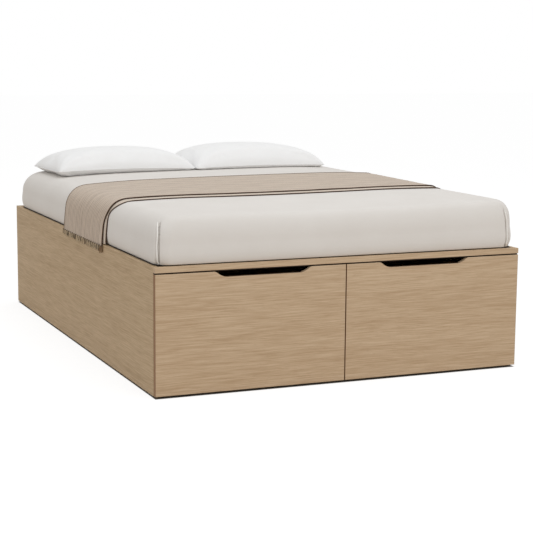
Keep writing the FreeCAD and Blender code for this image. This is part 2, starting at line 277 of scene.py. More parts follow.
class Finish(Nodes):
    """A material, with short calls for its textures and its surface."""

    def __init__(self, name, roughness, sheen=0.0, metallic=0.0, specular=0.5):
        self.material = bpy.data.materials.new(name)
        self.material.use_nodes = True
        super().__init__(self.material.node_tree)
        self.surface = self.tree.nodes["Principled BSDF"]
        self.surface.inputs["Roughness"].default_value = roughness
        self.surface.inputs["Sheen Weight"].default_value = sheen
        self.surface.inputs["Metallic"].default_value = metallic
        self.surface.inputs["Specular IOR Level"].default_value = specular

    def place(self):
        return self.add("ShaderNodeTexCoord", {}, "Object")

    def scaled(self, vector, scale):
        return self.add("ShaderNodeMapping", {"Vector": vector, "Scale": scale})

    def noise(self, vector, detail=4, roughness=0.55, output="Fac"):
        inputs = {"Vector": vector, "Scale": 1, "Detail": detail, "Roughness": roughness}
        return self.add("ShaderNodeTexNoise", inputs, output)

    def math(self, operation, *values):
        return self.add("ShaderNodeMath", dict(enumerate(values)), operation=operation)

    def vector_math(self, operation, *vectors):
        return self.add("ShaderNodeVectorMath", dict(enumerate(vectors)), operation=operation)

    def summed(self, one, one_share, other, other_share):
        """Two values added up by their shares."""
        part = self.math("MULTIPLY", one, one_share)
        return self.math("ADD", part, self.math("MULTIPLY", other, other_share))

    def between(self, value, low, high, to_low=0, to_high=1):
        """The value mapped from low and high to the two other numbers, and held between them."""
        inputs = {"Value": value, "From Min": low, "From Max": high, "To Min": to_low, "To Max": to_high}
        return self.add("ShaderNodeMapRange", inputs)

    def mixed(self, share, one, other):
        return self.add("ShaderNodeMix", {0: share, 6: one, 7: other}, 2, data_type="RGBA")

    def colour(self, value):
        self.put(self.surface.inputs["Base Color"], value)

    def roughness(self, value):
        self.put(self.surface.inputs["Roughness"], value)

    def bump(self, height, strength, depth):
        inputs = {"Height": height, "Strength": strength, "Distance": depth}
        self.put(self.surface.inputs["Normal"], self.add("ShaderNodeBump", inputs, "Normal"))

    def facing(self, axis):
        """How squarely the face points along an axis, 0 to 1."""
        normal = self.add("ShaderNodeNewGeometry", {}, "True Normal")
        return self.math("ABSOLUTE", self.add("ShaderNodeSeparateXYZ", {0: normal}, axis))

    def eased_edge(self):
        """1 on an eased edge, 0 on faces that are square to an axis."""
        level = self.math("MAXIMUM", self.facing(0), self.facing(1))
        square = self.math("MAXIMUM", level, self.facing(2))
        return self.between(square, 0.998, 0.95)


# Materials


def along(axis, long_scale, cross_scale):
    """Scales for coordinates that are drawn out along one axis."""
    return tuple(long_scale if i == axis else cross_scale for i in range(3))


def wood_figure(finish, grain):
    """Streaks, slow bands and short pores of a wood whose grain runs along an axis."""
    place = finish.place()
    drift = finish.noise(finish.scaled(place, along(grain, 1.6, 7)), 2, output="Color")
    centred = finish.vector_math("SUBTRACT", drift, (0.5, 0.5, 0.5))
    shift = finish.vector_math("MULTIPLY", centred, along(grain, 0, 0.02))
    waved = finish.vector_math("ADD", place, shift)
    streaks = finish.noise(finish.scaled(waved, along(grain, 8, 320)), 5, 0.6)
    bands = finish.noise(finish.scaled(waved, along(grain, 0.9, 26)), 3)
    pores = finish.noise(finish.scaled(waved, along(grain, 38, 1100)), 2)
    return streaks, bands, pores


def oak_veneer(name, grain, shade, light, banded=False):
    """Matte natural oak: fine straight grain, small pores, and browner upright edges and edge bands; banded
    fronts get near black-brown top and bottom faces, partly a dark edge band and partly painted shade.
    """
    finish = Finish(name, 0.62, specular=0.25)
    streaks, bands, pores = wood_figure(finish, grain)
    tone = finish.summed(streaks, 0.78, bands, 0.22)
    base = finish.mixed(finish.between(tone, 0.37, 0.63), shade, light)
    pore = finish.between(pores, 0.6, 0.72, 0, 0.35)
    grained = finish.mixed(pore, base, srgb(150, 118, 86))
    # Upright eased edges are made darker brown.
    upright = finish.between(finish.facing(2), 0.25, 0.05, 0, 0.8)
    darker_upright_edge = finish.math("MULTIPLY", finish.eased_edge(), upright)
    coloured = finish.mixed(darker_upright_edge, grained, srgb(92, 60, 36))
    if banded:
        end_band = finish.between(finish.facing(0), 0.9, 0.98, 0, 0.85)
        # Painted shade, partly a dark edge band: the top and bottom faces of the fronts are made near
        # black-brown, standing in for the shade in the reveal over them and the gap under them.
        level_band_and_painted_shade = finish.between(finish.facing(2), 0.97, 0.99, 0, 0.95)
        coloured = finish.mixed(end_band, coloured, srgb(132, 92, 56))
        coloured = finish.mixed(level_band_and_painted_shade, coloured, srgb(66, 45, 27))
    finish.colour(coloured)
    finish.roughness(finish.between(streaks, 0.3, 0.7, 0.56, 0.7))
    height = finish.math("SUBTRACT", streaks, finish.math("MULTIPLY", pore, 1.2))
    finish.bump(height, 0.15, 0.0006)
    return finish.material


def birch_ply(name, grain, thickness_axis, ply=0.003):
    """Birch plywood: pale flamed faces, and cut edges with alternate light and dark plies."""
    finish = Finish(name, 0.55)
    streaks, bands, pores = wood_figure(finish, grain)
    tone = finish.summed(streaks, 0.35, bands, 0.65)
    face = finish.mixed(finish.between(tone, 0.35, 0.65), srgb(208, 180, 140), srgb(228, 206, 170))
    depth = finish.add("ShaderNodeSeparateXYZ", {0: finish.place()}, thickness_axis)
    wave = finish.math("SINE", finish.math("MULTIPLY", depth, math.pi / ply))
    layers = finish.mixed(finish.between(wave, -0.25, 0.25), srgb(150, 112, 74), srgb(214, 186, 146))
    speckled = finish.mixed(finish.between(pores, 0.45, 0.7, 0, 0.4), layers, srgb(122, 88, 58))
    finish.colour(finish.mixed(finish.between(finish.facing(thickness_axis), 0.4, 0.6), speckled, face))
    finish.roughness(finish.between(streaks, 0.3, 0.7, 0.48, 0.62))
    finish.bump(streaks, 0.12, 0.0004)
    return finish.material


def sawn_pine(name, grain):
    """Planed pine with orange late-wood lines and a few knots."""
    finish = Finish(name, 0.6)
    streaks, bands, _ = wood_figure(finish, grain)
    rings = finish.math("FRACT", finish.math("MULTIPLY", bands, 9))
    late = finish.math("POWER", rings, 3)
    base = finish.mixed(late, srgb(226, 196, 148), srgb(196, 150, 96))
    stretched = finish.scaled(finish.place(), along(grain, 1.7, 7))
    spots = finish.add("ShaderNodeTexVoronoi", {"Vector": stretched, "Scale": 1}, "Distance")
    knot = finish.between(spots, 0.1, 0.05)
    finish.colour(finish.mixed(knot, base, srgb(126, 82, 46)))
    finish.roughness(finish.between(streaks, 0.3, 0.7, 0.54, 0.68))
    finish.bump(finish.math("ADD", streaks, late), 0.15, 0.0005)
    return finish.material


def zinc_steel():
    """Rolled steel with a bright zinc coat and faint rolling lines."""
    finish = Finish("zinc_plated_steel", 0.36, metallic=1)
    place = finish.place()
    spangle = finish.noise(finish.scaled(place, (90, 90, 90)), 3)
    lines = finish.noise(finish.scaled(place, (900, 14, 900)), 2)
    finish.colour(finish.mixed(spangle, srgb(176, 180, 184), srgb(214, 216, 218)))
    finish.roughness(finish.between(finish.math("ADD", spangle, lines), 0.7, 1.3, 0.26, 0.46))
    finish.bump(lines, 0.08, 0.0002)
    return finish.material


def black_nylon():
    """Moulded nylon with a fine spark-eroded grain."""
    finish = Finish("black_nylon", 0.5)
    grain = finish.noise(finish.scaled(finish.place(), (700, 700, 700)), 3)
    finish.colour(finish.mixed(grain, srgb(36, 35, 34), srgb(56, 54, 52)))
    finish.roughness(finish.between(grain, 0.3, 0.7, 0.42, 0.6))
    finish.bump(grain, 0.2, 0.0003)
    return finish.material


def wool_felt(name, shade, light, sheen):
    """Pressed wool felt with a fibrous surface."""
    finish = Finish(name, 0.95, sheen=sheen)
    place = finish.place()
    fibres = finish.noise(finish.scaled(place, (900, 900, 900)), 5, 0.7)
    clumps = finish.noise(finish.scaled(place, (160, 160, 160)), 3)
    finish.colour(finish.mixed(finish.math("MULTIPLY", fibres, clumps), shade, light))
    finish.bump(fibres, 0.6, 0.0008)
    return finish.material


def thread_waves(finish, vector, pitch):
    """Fine crossing threads: a wave along each of the three axes, added up."""
    steps = finish.scaled(vector, (2 * math.pi / pitch,) * 3)
    waves = [
        finish.math("SINE", finish.add("ShaderNodeSeparateXYZ", {0: steps}, axis))
        for axis in range(3)
    ]
    return finish.math("ADD", finish.math("ADD", waves[0], waves[1]), waves[2])


def cotton(name, low_tone, high_tone, pitch):
    """Plain-woven cotton: crossing threads, slubs and a slight unevenness of tone."""
    finish = Finish(name, 0.88, sheen=0.08, specular=0.2)
    place = finish.place()
    threads = thread_waves(finish, place, pitch)
    slubs = finish.noise(finish.scaled(place, (140, 140, 140)), 4, 0.65)
    cloud = finish.noise(finish.scaled(place, (6, 6, 6)), 3)
    finish.colour(finish.mixed(finish.math("MULTIPLY_ADD", slubs, 0.3, cloud), low_tone, high_tone))
    finish.roughness(finish.between(slubs, 0.3, 0.7, 0.84, 0.93))
    height = finish.math("MULTIPLY_ADD", threads, 0.12, slubs)
    finish.bump(height, 0.22, 0.0005)
    return finish.material


def mattress_ticking(stripe_pitch=0.03):
    """Damask ticking: a cream ground with narrow woven stripes along the bed."""
    finish = Finish("mattress_ticking", 0.85, sheen=0.15)
    place = finish.place()
    across = finish.add("ShaderNodeSeparateXYZ", {0: place}, 0)
    wave = finish.math("SINE", finish.math("MULTIPLY", across, 2 * math.pi / stripe_pitch))
    stripe = finish.between(wave, 0.75, 0.9)
    slubs = finish.noise(finish.scaled(place, (220, 220, 220)), 4)
    ground = finish.mixed(slubs, srgb(214, 208, 196), srgb(232, 228, 218))
    finish.colour(finish.mixed(stripe, ground, srgb(156, 160, 166)))
    finish.bump(finish.math("ADD", thread_waves(finish, place, 0.0016), slubs), 0.3, 0.0004)
    return finish.material


def throw_wool(name, shade, light, rib_pitch=0.021):
    """Heathered wool cloth: ribs, uneven streaks and a plain weave, with painted light that makes it
    lighter where it lies flat.
    """
    finish = Finish(name, 0.92, sheen=0.35, specular=0.15)
    cloth = finish.add("ShaderNodeUVMap", {}, "UV", uv_map="cloth")
    drift = finish.noise(finish.scaled(cloth, (7, 9, 1)), 2)
    across = finish.add("ShaderNodeSeparateXYZ", {0: cloth}, 1)
    bent = finish.math("MULTIPLY_ADD", drift, 0.018, across)
    rib = finish.math("SINE", finish.math("MULTIPLY", bent, 2 * math.pi / rib_pitch))
    weave = thread_waves(finish, cloth, 0.0024)
    heather = finish.noise(finish.scaled(cloth, (60, 420, 1)), 4, 0.7)
    streak = finish.noise(finish.scaled(cloth, (8, 95, 1)), 3)
    tone = finish.math("MULTIPLY_ADD", rib, 0.26, finish.math("MULTIPLY_ADD", streak, 0.9, heather))
    # Painted light: faces that point up are mixed towards pale cream, so the top reads lighter than the
    # hanging sides.
    painted_top_light = finish.between(finish.facing(2), 0.4, 0.9, 0, 0.13)
    dyed = finish.mixed(finish.between(tone, 0.65, 1.25), shade, light)
    finish.colour(finish.mixed(painted_top_light, dyed, srgb(250, 238, 222)))
    finish.roughness(finish.between(heather, 0.3, 0.7, 0.88, 0.97))
    height = finish.math("MULTIPLY_ADD", weave, 0.22, finish.math("MULTIPLY_ADD", heather, 0.8, rib))
    finish.bump(height, 0.4, 0.0008)
    return finish.material


def yarn(name, shade, light):
    """Twisted wool yarn for fringes and bindings."""
    finish = Finish(name, 0.95, sheen=0.2, specular=0.1)
    fibres = finish.noise(finish.scaled(finish.place(), (500, 500, 900)), 4, 0.7)
    finish.colour(finish.mixed(fibres, shade, light))
    finish.bump(fibres, 0.5, 0.0006)
    return finish.material


oak_across = oak_veneer("oak_grain_across", 0, srgb(184, 156, 124), srgb(210, 186, 156))
# Painted shade: the lengthwise oak of the side panels is given a darker tone than the across oak, for the
# shade on the bed's sides.
oak_lengthwise_painted_shade = oak_veneer("oak_grain_lengthwise", 1, srgb(168, 142, 107), srgb(200, 176, 143))
oak_front = oak_veneer("oak_drawer_front", 0, srgb(184, 156, 124), srgb(210, 186, 156), banded=True)
# Painted shade: a near-black oak for the foot stretcher, which shows only through the reveal and the finger
# pulls, stands in for the shade behind them.
oak_painted_shade = oak_veneer("oak_dark_stained", 0, srgb(42, 31, 22), srgb(58, 44, 32))
ply_side = birch_ply("birch_ply_side", 1, 0)
ply_end = birch_ply("birch_ply_end", 0, 1)
ply_floor = birch_ply("birch_ply_floor", 0, 2)
pine_across = sawn_pine("pine_across", 0)
pine_lengthwise = sawn_pine("pine_lengthwise", 1)
steel = zinc_steel()
nylon = black_nylon()
felt = wool_felt("brown_felt", srgb(112, 98, 84), srgb(166, 150, 132), 0.4)
# Painted shade: a near-black felt for the strip over the drawers and the cord along the mattress, standing
# in for the shade there.
dark_felt = wool_felt("dark_felt", srgb(34, 23, 14), srgb(54, 38, 25), 0.05)
ticking = mattress_ticking()
sheet_cotton = cotton("sheet_cotton", srgb(220, 215, 209), srgb(228, 224, 219), 0.0013)
pillow_cotton = cotton("pillow_cotton", srgb(241, 241, 240), srgb(247, 247, 247), 0.0012)
# Painted highlight: the welts of the corner seams are a whiter cotton than the sheet, standing in for the
# light on their raised edge.
welt_cotton = cotton("welt_cotton", srgb(242, 239, 234), srgb(248, 246, 242), 0.0012)
tape_cotton = cotton("tape_cotton", srgb(196, 188, 176), srgb(210, 203, 192), 0.002)
wool_face = throw_wool("throw_face", srgb(158, 137, 117), srgb(207, 188, 167))
wool_reverse = throw_wool("throw_reverse", srgb(190, 172, 152), srgb(228, 212, 194))
binding_yarn = yarn("binding_yarn", srgb(58, 40, 28), srgb(88, 64, 46))
# Painted shade: a dark yarn line along the throw's fold stands in for the thin shadow at the fold.
fold_yarn = yarn("fold_yarn", srgb(84, 62, 42), srgb(114, 88, 64))
fringe_yarn = yarn("fringe_yarn", srgb(198, 178, 148), srgb(228, 210, 180))
# Painted shade: dark brown strands among the fringe stand in for the shade in the gaps between the tassels.
strand_yarn = yarn("strand_yarn", srgb(64, 49, 32), srgb(90, 72, 50))
tuft_yarn = yarn("tuft_yarn", srgb(122, 93, 65), srgb(166, 138, 106))

# Finishes of the frame and the drawers

sides = ("left", "right")
frame_finishes = {
    oak_across: ["foot_rail", "head_panel", "cross_panel", "lower_tie_left", "lower_tie_right"],
    oak_front: ["left_drawer_front", "right_drawer_front"],
    oak_painted_shade: ["foot_stretcher"],
    oak_lengthwise_painted_shade: ["side_panel_left", "side_panel_right", "centre_divider", "head_support"],
    pine_across: [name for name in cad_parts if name.startswith("slat_") and "ledger" not in name],
    pine_lengthwise: ["slat_ledger_left", "slat_ledger_right"],
    nylon: ["floor_glides"] + [f"{side}_{kind}_cages" for side in sides for kind in ("outer", "inner")],
    felt: ["front_bumpers"],
    steel: ["corner_brackets"]
    + [f"{side}_{kind}_members" for side in sides for kind in ("cabinet", "middle", "drawer")],
    ply_side: [f"{side}_drawer_{kind}_side" for side in sides for kind in ("outer", "inner")],
    ply_end: [f"{side}_drawer_{kind}" for side in sides for kind in ("box_front", "back")],
    ply_floor: ["left_drawer_floor", "right_drawer_floor"],
}
for finish, names in frame_finishes.items():
    for name in names:
        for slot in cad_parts[name].material_slots:
            slot.material = finish


# Mesh helpers


def new_piece(name, points, faces, finish, uv=None):
    """A smooth mesh object at the origin; uv gives one pair for each point."""
    mesh = bpy.data.meshes.new(name)
    mesh.from_pydata([tuple(map(float, point)) for point in points], [], faces)
    mesh.polygons.foreach_set("use_smooth", [True] * len(mesh.polygons))
    if uv is not None:
        corners = np.zeros(len(mesh.loops), np.int32)
        mesh.loops.foreach_get("vertex_index", corners)
        layer = mesh.uv_layers.new(name="cloth")
        layer.uv.foreach_set("vector", np.asarray(uv, np.float32)[corners].ravel())
    mesh.materials.append(finish)
    mesh.update()
    piece = bpy.data.objects.new(name, mesh)
    bpy.context.scene.collection.objects.link(piece)
    return piece


def ring_faces(rows, columns):
    """Quads between closed rings of points, ring after ring; anticlockwise rings that rise face out."""
    faces = []
    for row in range(rows - 1):
        low = row * columns
        high = low + columns
        for column in range(columns):
            beside = (column + 1) % columns
            faces.append((low + column, low + beside, high + beside, high + column))
    return faces


def grid_faces(rows, columns):
    """Quads of an open grid of points, row after row."""
    faces = []
    for row in range(rows - 1):
        low = row * columns
        high = low + columns
        for column in range(columns - 1):
            faces.append((low + column, low + column + 1, high + column + 1, high + column))
    return faces


def tube(line, radius, sides=8, closed=False, ends=0.25):
    """Points and faces of a tube along a line; open ends taper to a share of the radius."""
    line = np.asarray(line, float)
    count = len(line)
    ahead = np.roll(line, -1, 0) - np.roll(line, 1, 0)
    if not closed:
        ahead[0] = line[1] - line[0]
        ahead[-1] = line[-1] - line[-2]
    ahead /= np.linalg.norm(ahead, axis=1)[:, None]
    across = np.zeros((count, 3))
    seed = np.array([0, 0, 1.0]) if abs(ahead[0, 2]) < 0.9 else np.array([1.0, 0, 0])
    for i in range(count):
        flat = seed - ahead[i] * (seed @ ahead[i])
        across[i] = flat / np.linalg.norm(flat)
        seed = across[i]
    third = np.cross(ahead, across)
    size = np.full(count, radius)
    if not closed:
        size[[0, -1]] *= ends
    turns = 2 * math.pi * np.arange(sides) / sides
    round_about = across[:, None] * np.cos(turns)[:, None] + third[:, None] * np.sin(turns)[:, None]
    points = (line[:, None] + size[:, None, None] * round_about).reshape(-1, 3)
    faces = ring_faces(count, sides)
    if closed:
        last = (count - 1) * sides
        faces += [(last + i, last + (i + 1) % sides, (i + 1) % sides, i) for i in range(sides)]
    else:
        faces.append(tuple(range(sides))[::-1])
        faces.append(tuple(range((count - 1) * sides, count * sides)))
    return points, faces


def joined(parts):
    """Several lists of points and faces as one."""
    points, faces = [], []
    for some_points, some_faces in parts:
        first = len(points)
        points.extend(some_points)
        faces.extend(tuple(first + i for i in face) for face in some_faces)
    return points, faces


def ripple(x, y, z, scale, seed):
    """A smooth waviness from -1 to 1, the same on every run."""
    phase = 1.7 * seed
    return (
        np.sin(scale * (x + 0.37 * y) + phase + 1.3 * np.sin(0.61 * scale * y + phase))
        + np.sin(scale * (0.83 * y - 0.29 * x + 0.5 * z) + 2.1 * phase + np.sin(0.43 * scale * x))
        + np.sin(1.31 * scale * (z + 0.2 * x - 0.4 * y) + 0.7 * phase)
    ) / 3


# Mattress and fitted sheet

sheet_low, sheet_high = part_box("fitted_sheet")
deck = sheet_low.z
bedding_top = sheet_high.z
half_width = sheet_high.x - side_bulge
half_length = (sheet_high.y - sheet_low.y) / 2 - side_bulge
bed_middle = (sheet_high.y + sheet_low.y) / 2
across_steps = 84
length_steps = 124
corner_steps = 48
under_rows = 4
side_rows = 15
side_crowding = 1.4
shoulder_rows = 12
crown_rows = 14


def level_ring(half_x, half_y, corner, z):
    """A level ring with round corners, anticlockwise from the middle of the foot-left corner."""
    ring = []
    half_turns = math.pi / 4 * np.arange(corner_steps // 2) / (corner_steps // 2)
    for side in range(4):
        steps, reach, out = (
            (across_steps, half_x, half_y) if side % 2 == 0 else (length_steps, half_y, half_x)
        )
        start = math.pi * 1.25
        arriving = [
            (
                -reach + corner + corner * math.cos(start + turn),
                -out + corner + corner * math.sin(start + turn),
            )
            for turn in half_turns
        ]
        straight = [(-reach + corner + 2 * (reach - corner) * i / steps, -out) for i in range(steps)]
        leaving = [
            (reach - corner + corner * math.sin(turn), -out + corner - corner * math.cos(turn))
            for turn in half_turns
        ]
        for x, y in arriving + straight + leaving:
            for _ in range(side):
                x, y = -y, x
            ring.append((x, y + bed_middle, z))
    return np.array(ring)


def bedding_rows(inset):
    """Height, side draw-in and end draw-in of each ring, from the deck up to the crown."""
    low = deck + inset + edge_lift
    top = bedding_top - inset
    shoulder_start = top - crown_height - shoulder_height
    rows = []
    for share in np.linspace(0, 1, side_rows)[:-1] ** side_crowding:
        height = low + (shoulder_start - low) * share
        tucked = max(0, 1 - (height - low) / foot_height)
        draw = foot_draw * tucked**2 - side_bulge * math.sin(math.pi * share)
        rows.append((height, draw, draw))
    for turn in np.linspace(0, math.pi / 2, shoulder_rows):
        share = 1 - math.cos(turn)
        height = shoulder_start + shoulder_height * math.sin(turn)
        rows.append((height, side_shoulder * share, end_shoulder * share))
    for share in np.linspace(0, 1, crown_rows)[1:]:
        height = top - crown_height * (1 - share) ** 2
        rows.append((height, side_shoulder + crown_run * share, end_shoulder + crown_run * share))
    return rows


def round_in(height, run, rise):
    """How far a shoulder of that run and rise has come in at a height."""
    share = np.clip(1 - (bedding_top - crown_height - height) / rise, 0, 1)
    return run * (1 - np.sqrt(1 - share**2))


def firmer_right(x, height):
    """A place across the bed, moved out where the right shoulder is squarer than the left one."""
    gain = round_in(height, side_shoulder, shoulder_height)
    gain = gain - round_in(height, right_shoulder, right_shoulder_height)
    return x + gain * np.clip(x / (half_width - side_shoulder), 0, 1)


def smooth_step(share):
    """A share that leaves 0 and reaches 1 gently, and is held there."""
    held = np.clip(share, 0, 1)
    return held**2 * (3 - 2 * held)


def top_rise(x, y):
    """How far the used bed's top stands from its plain form: lower at the left and towards the foot."""
    to_head = smooth_step((y - rise_foot) / (rise_head - rise_foot))
    middle = middle_rise[0] + (middle_rise[1] - middle_rise[0]) * to_head
    right = right_rise[0] + (right_rise[1] - right_rise[0]) * to_head
    across = np.clip(x / rim_x, -1.1, 1.1)
    return middle + (right - left_rise) / 2 * across + ((right + left_rise) / 2 - middle) * across**2


def settled(points):
    """Points on the bed, moved as its top has settled; those at the deck stay."""
    x, y, z = points.T
    share = np.clip((z - deck) / (bedding_top - crown_height - deck), 0, 1)
    return np.stack([x, y, z + top_rise(x, y) * share], -1)


def cap_points(inset, tuck, corner):
    """Rings up the sides of the bedding and a grid over its top, with the grid's faces."""
    rows = bedding_rows(inset)
    low = deck + inset
    under = [
        (low, tuck),
        (low, tuck_flat),
        (low + 0.4 * edge_lift, tuck_turn),
        (low + 0.8 * edge_lift, foot_draw + tuck_edge),
    ]
    rings = [
        level_ring(half_width - inset - side, half_length - inset - end, corner, z)
        for z, side, end in [(z, draw, draw) for z, draw in under] + rows
    ]
    columns = len(rings[0])
    faces = ring_faces(len(rings), columns)
    points = np.concatenate(rings)
    edge = rings[-1]
    wide = across_steps + corner_steps
    deep = length_steps + corner_steps
    foot = edge[: wide + 1]
    right = edge[wide : wide + deep + 1]
    head = edge[wide + deep : 2 * wide + deep + 1][::-1]
    left = np.concatenate([edge[2 * wide + deep :], edge[:1]])[::-1]
    u = np.linspace(0, 1, wide + 1)[None, :, None]
    v = np.linspace(0, 1, deep + 1)[:, None, None]
    grid = (1 - v) * foot[None] + v * head[None] + (1 - u) * left[:, None] + u * right[:, None]
    grid = grid - (1 - v) * ((1 - u) * foot[0] + u * foot[-1]) - v * ((1 - u) * head[0] + u * head[-1])
    inner = grid[1:-1, 1:-1]
    first = len(points)
    base = (len(rings) - 1) * columns

    def index(row, column):
        if row == 0:
            return base + column
        if column == wide:
            return base + wide + row
        if row == deep:
            return base + wide + deep + (wide - column)
        if column == 0:
            return base + 2 * wide + deep + (deep - row)
        return first + (row - 1) * (wide - 1) + column - 1

    for row in range(deep):
        for column in range(wide):
            around = ((row, column), (row, column + 1), (row + 1, column + 1), (row + 1, column))
            faces.append(tuple(index(*place) for place in around))
    points = np.concatenate([points, inner.reshape(-1, 3)])
    points[:, 0] = firmer_right(points[:, 0], points[:, 2] + inset)
    return settled(points), faces, len(rings), columns


seam_columns = [0, across_steps + corner_steps]
seam_columns += [seam_columns[1] + length_steps + corner_steps]
seam_columns += [seam_columns[2] + across_steps + corner_steps]
seam_top = bedding_top - seam_top_drop


def seam_column(ring, corner, base, across):
    """Where a ring crosses the upright plane of a corner seam, in columns from the ring's corner."""
    beside = np.arange(-corner_steps, corner_steps + 1)
    places = ring[(corner + beside) % len(ring)] - base
    return np.interp(0, places[:, :2] @ across, beside)


def make_fitted_sheet():
    """The sheet pulled over the mattress, creased beside four welted corner seams, its hem tucked under."""
    points, faces, rows, columns = cap_points(0, sheet_tuck, corner_round)
    smooth = points.copy()
    lowest = smooth[under_rows * columns : (under_rows + 1) * columns]
    seam_lines = []
    for number, corner in enumerate(seam_columns):
        start = (corner - seam_shifts[number]) % columns
        base = lowest[start]
        onward = lowest[(start + 2) % columns] - lowest[(start - 2) % columns]
        onward /= np.linalg.norm(onward)
        outward = np.array([onward[1], -onward[0], 0])
        to_middle = math.copysign(seam_across, bed_middle - base[1])
        across = np.array([to_middle, math.copysign(seam_along, base[0])])
        line = []
        for row in range(under_rows, rows):
            ring = smooth[row * columns : (row + 1) * columns]
            seam = corner + seam_column(ring, corner, base, across)
            whole = math.floor(seam)
            share = seam - whole
            middle = (1 - share) * ring[whole % columns] + share * ring[(whole + 1) % columns]
            height = middle[2]
            fade = min(1, max(0, (seam_top - height) / seam_fade))
            for column in range(whole - crease_reach, whole + crease_reach + 1):
                main = math.exp(-0.5 * ((column - seam - crease_offset) / crease_width) ** 2)
                other = math.exp(-0.5 * ((column - seam + crease_offset) / crease_width) ** 2)
                depth = seam_crease * fade * (main + side_crease * other)
                points[row * columns + column % columns] -= outward * depth
            if fade > 0:
                curl = seam_curl * max(0, 1 - (height - deck) / curl_height) ** 2
                sway = seam_sway * math.sin(sway_waves * (height - deck) + number)
                sunk = welt_radius * welt_sink + curl * curl_sink
                line.append(middle + onward * (curl + sway) - outward * sunk)
        seam_lines.append(line)
        seam_end = np.array(line[-1])
        far = np.linalg.norm(smooth - seam_end - [0, 0, dimple_radius * 0.5], axis=1)
        points -= outward * (seam_dimple * np.exp(-((far / dimple_radius) ** 2)))[:, None]
    x, y, z = smooth.T
    calm = np.clip((z - deck) / calm_height, 0, 1)
    points[:, 2] += sheet_wave * 0.5 * calm * ripple(x, y, 0 * z, slow_wave, 1) - sheet_wave * 0.5 * calm
    pull = sheet_wave * calm * ripple(x, y, z, quick_wave, 2)
    points[:, 0] -= pull * np.sign(x) * (np.abs(x) > half_width - pull_band)
    points[:, 1] -= pull * np.sign(y) * (np.abs(y - bed_middle) > half_length - pull_band)
    cloth = new_piece("fitted_sheet_cloth", points, faces, sheet_cotton)
    welts = joined([tube(line, welt_radius, ends=0.5) for line in seam_lines])
    seams = new_piece("fitted_sheet_seams", welts[0], welts[1], welt_cotton)
    return cloth, seams


def make_mattress():
    """The mattress under the sheet: the same form a little smaller, closed below, with a taped edge."""
    points, faces, _, columns = cap_points(sheet_gap, sheet_tuck, corner_round + corner_relief)
    faces.append(tuple(range(columns))[::-1])
    body = new_piece("mattress_body", points, faces, ticking)
    inset = sheet_gap + foot_draw + 2 * tape_radius
    round_tape = corner_round + corner_relief - inset
    height = deck + sheet_gap + edge_lift + tape_radius
    ring = level_ring(half_width - inset, half_length - inset, round_tape, height)
    tape = tube(ring[::2], tape_radius, 6, closed=True)
    edge = new_piece("mattress_tape_edge", tape[0], tape[1], tape_cotton)
    return body, edge


def make_deck_shade_cord():
    """A dark felt cord on the rim of the frame, along both sides of the mattress: painted shade in the
    crevice under the mattress's edge.
    """
    out = deck_shade_cord_radius - foot_draw
    ring = level_ring(half_width + out, half_length + out, corner_round, deck + deck_shade_cord_radius)
    head_end = bed_middle + half_length - corner_round
    first_away = int(np.argmax(ring[:, 1] > head_end))
    ring = np.roll(ring, -first_away, 0)
    ring = ring[ring[:, 1] <= head_end]
    lines = [ring[side * ring[:, 0] > half_width + out - deck_shade_cord_turn] for side in (-1, 1)]
    cords = joined([tube(line, deck_shade_cord_radius, 6, ends=0.5) for line in lines])
    return new_piece("deck_shade_cord", cords[0], cords[1], dark_felt)


def bed_surface(x, y):
    """The sheet's height over a place on top of the bed, by the nearer of its side and its end."""
    heights, sides, ends = np.array(bedding_rows(0)).T
    widest = np.argmin(sides)
    heights, left, ends = heights[widest:], half_width - sides[widest:], ends[widest:]
    right = firmer_right(left, heights)
    over_left = np.interp(x, -left, heights)
    over_right = np.interp(-x, -right, heights)
    over_end = np.interp(half_length - np.abs(y - bed_middle), ends, heights)
    return np.minimum(np.minimum(over_left, over_right), over_end) + top_rise(x, y)


# Pillows


def cloth_swelled(piece, settings, frames, cap):
    """Lets a closed cloth swell under pressure, no point moving further than the cap."""
    start = np.zeros(len(piece.data.vertices) * 3, np.float32)
    piece.data.vertices.foreach_get("co", start)
    modifier = piece.modifiers.new("swell", "CLOTH")
    for setting, value in settings.items():
        setattr(modifier.settings, setting, value)
    modifier.settings.effector_weights.gravity = 0
    modifier.collision_settings.use_collision = False
    modifier.point_cache.frame_start = 1
    modifier.point_cache.frame_end = frames
    for step in range(1, frames + 1):
        bpy.context.scene.frame_set(step)
    ready = piece.evaluated_get(bpy.context.evaluated_depsgraph_get())
    shaped = bpy.data.meshes.new_from_object(ready)
    swelled = np.zeros_like(start)
    shaped.vertices.foreach_get("co", swelled)
    bpy.data.meshes.remove(shaped)
    piece.modifiers.remove(modifier)
    bpy.context.scene.frame_set(1)
    move = (swelled - start).reshape(-1, 3)
    far = np.linalg.norm(move, axis=1)[:, None]
    limited = move * np.minimum(1, cap / np.maximum(far, 1e-9))
    return start.reshape(-1, 3) + limited


